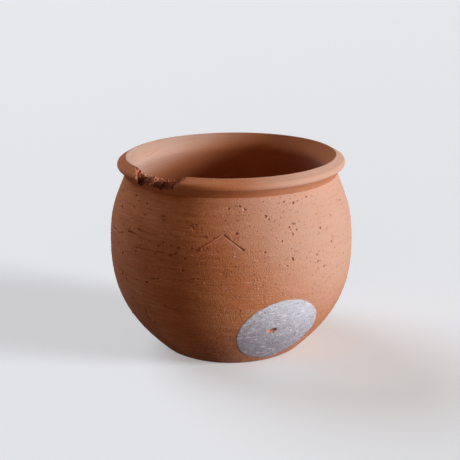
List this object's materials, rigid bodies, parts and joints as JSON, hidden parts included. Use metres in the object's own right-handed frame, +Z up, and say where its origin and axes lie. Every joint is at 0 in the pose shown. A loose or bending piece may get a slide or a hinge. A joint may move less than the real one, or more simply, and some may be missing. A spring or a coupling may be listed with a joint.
{
  "type": "terracotta flower pot",
  "caption": "Round-bellied terracotta flower pot with a rolled rim over a neck groove, a chipped lip, a drain hole and a matt silver paint spot low on the belly.",
  "frame": {"origin": "centre of the foot ring, on the plane that the pot stands on", "axes": "+Z up along the pot's axis, -Y towards the side with the chevron mark, +X towards the silver spot's side"},
  "size_m": [0.1102, 0.1102, 0.0881],
  "materials": {
    "wall_clay": "matt, pitted, with horizontal drag marks",
    "rim_clay": "matt, smooth, with fine throwing lines",
    "floor_clay": "matt",
    "silver_paint": "matt brushed paint"
  },
  "bodies": {
    "root": {"belly_wall": "wall_clay", "rim_collar": "rim_clay", "floor_disc": "floor_clay", "silver_spot": "silver_paint"}
  },
  "joints": []
}
